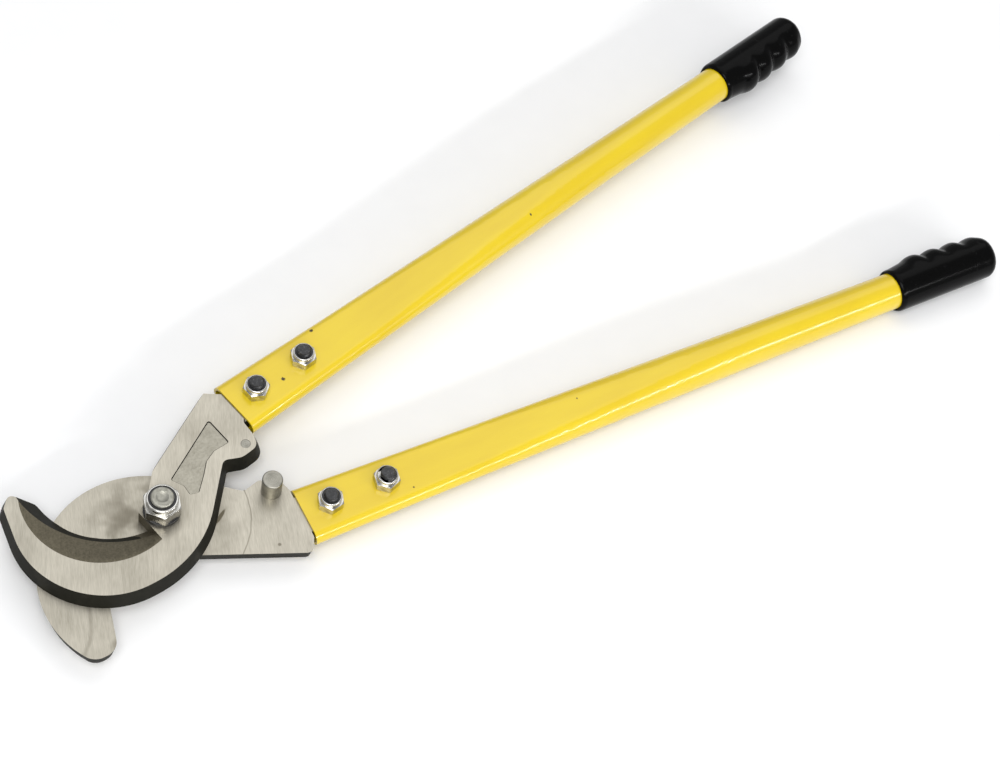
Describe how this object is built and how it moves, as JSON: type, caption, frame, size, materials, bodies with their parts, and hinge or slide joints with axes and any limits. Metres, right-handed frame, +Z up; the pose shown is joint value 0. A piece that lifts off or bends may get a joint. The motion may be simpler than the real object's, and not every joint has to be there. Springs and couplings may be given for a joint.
{
  "type": "long-handled cable cutter",
  "caption": "Long-handled two-lever cable cutter: hook and beak blades crossing at one pivot bolt, flattened tubular handles bolted to the blades, moulded grips.",
  "frame": {"origin": "centre of the underside of the pivot bolt's head", "axes": "+Z up the pivot axis towards the lock nut, +X along the tool towards the grips and midway between the handles, +Y towards the hook lever's handle"},
  "size_m": [0.7749, 0.2782, 0.0536],
  "materials": {
    "blade_steel": "ground faces, dark forged edges",
    "tube_paint": "gloss yellow enamel",
    "grip_plastic": "glossy black moulded vinyl",
    "zinc_plate": "bright zinc plate",
    "black_oxide": "black oxide",
    "nylon": "matt",
    "pin_steel": "turned steel"
  },
  "bodies": {
    "beak_lever": {"beak_blade": "blade_steel", "stop_pin": "pin_steel", "pivot_bolt": "zinc_plate", "pivot_washer": "zinc_plate", "pivot_nut": "zinc_plate", "pivot_nut_ring": "nylon", "beak_handle_tube": "tube_paint", "beak_grip": "grip_plastic", "beak_bolt_front": "black_oxide", "beak_bolt_rear": "black_oxide", "beak_nut_front": "zinc_plate", "beak_nut_rear": "zinc_plate", "beak_nut_ring_front": "nylon", "beak_nut_ring_rear": "nylon"},
    "hook_lever": {"hook_blade": "blade_steel", "hook_dowel": "pin_steel", "hook_handle_tube": "tube_paint", "hook_grip": "grip_plastic", "hook_bolt_front": "black_oxide", "hook_bolt_rear": "black_oxide", "hook_nut_front": "zinc_plate", "hook_nut_rear": "zinc_plate", "hook_nut_ring_front": "nylon", "hook_nut_ring_rear": "nylon"}
  },
  "joints": [
    {"name": "jaw_pivot", "type": "hinge", "parent": "beak_lever", "child": "hook_lever", "pos_m": [0, 0, 0.02], "axis": [0, 0, 1], "range_deg": [-13, 115]}
  ]
}
